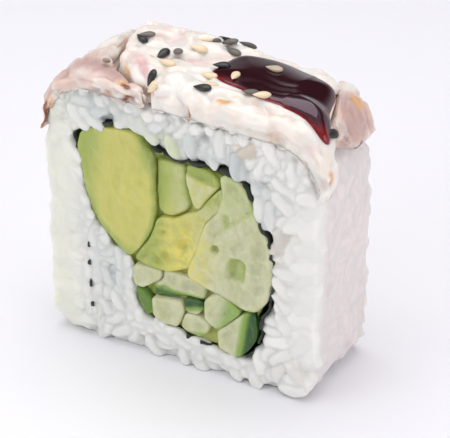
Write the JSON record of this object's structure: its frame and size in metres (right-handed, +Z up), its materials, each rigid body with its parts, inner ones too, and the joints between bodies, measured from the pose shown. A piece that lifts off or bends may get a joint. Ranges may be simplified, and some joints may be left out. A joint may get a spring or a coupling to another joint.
{
  "type": "uramaki roll",
  "caption": "Inside-out sushi roll slice standing on its base: rice round a nori spiral filled with avocado and cucumber, topped with fish, sauce and sesame.",
  "frame": {"origin": "middle of the footprint of the bounding box, at the height of the base", "axes": "+Z up, +X to the right across the cut face, and the front cut face towards -Y"},
  "size_m": [0.0566, 0.0243, 0.0558],
  "materials": {
    "rice": "moist and slightly translucent",
    "nori": "near-black, wrinkled sheet",
    "avocado": "soft and buttery, yellow to green",
    "avocado_edge": "soft and buttery, green outer flesh",
    "cucumber": "wet, pale green flesh",
    "cucumber_skin": "wet, dark green skin shading into pale flesh",
    "fish": "moist white flesh under glossy dark sauce and sesame seeds",
    "fish_skin": "moist pinkish flesh with seared skin"
  },
  "bodies": {
    "root": {"rice": "rice", "nori": "nori", "avocado_slice": "avocado", "avocado_strip": "avocado_edge", "avocado_wedge": "avocado", "avocado_middle": "avocado", "cucumber_core": "cucumber", "cucumber_stick_a": "cucumber", "cucumber_stick_b": "cucumber_skin", "cucumber_stick_c": "cucumber", "cucumber_stick_d": "cucumber", "cucumber_stick_e": "cucumber_skin", "cucumber_stick_f": "cucumber", "cucumber_strip": "cucumber_skin", "cucumber_bit": "cucumber_skin", "fish_slice_left": "fish_skin", "fish_slice_main": "fish", "fish_slice_end": "fish_skin"}
  },
  "joints": []
}
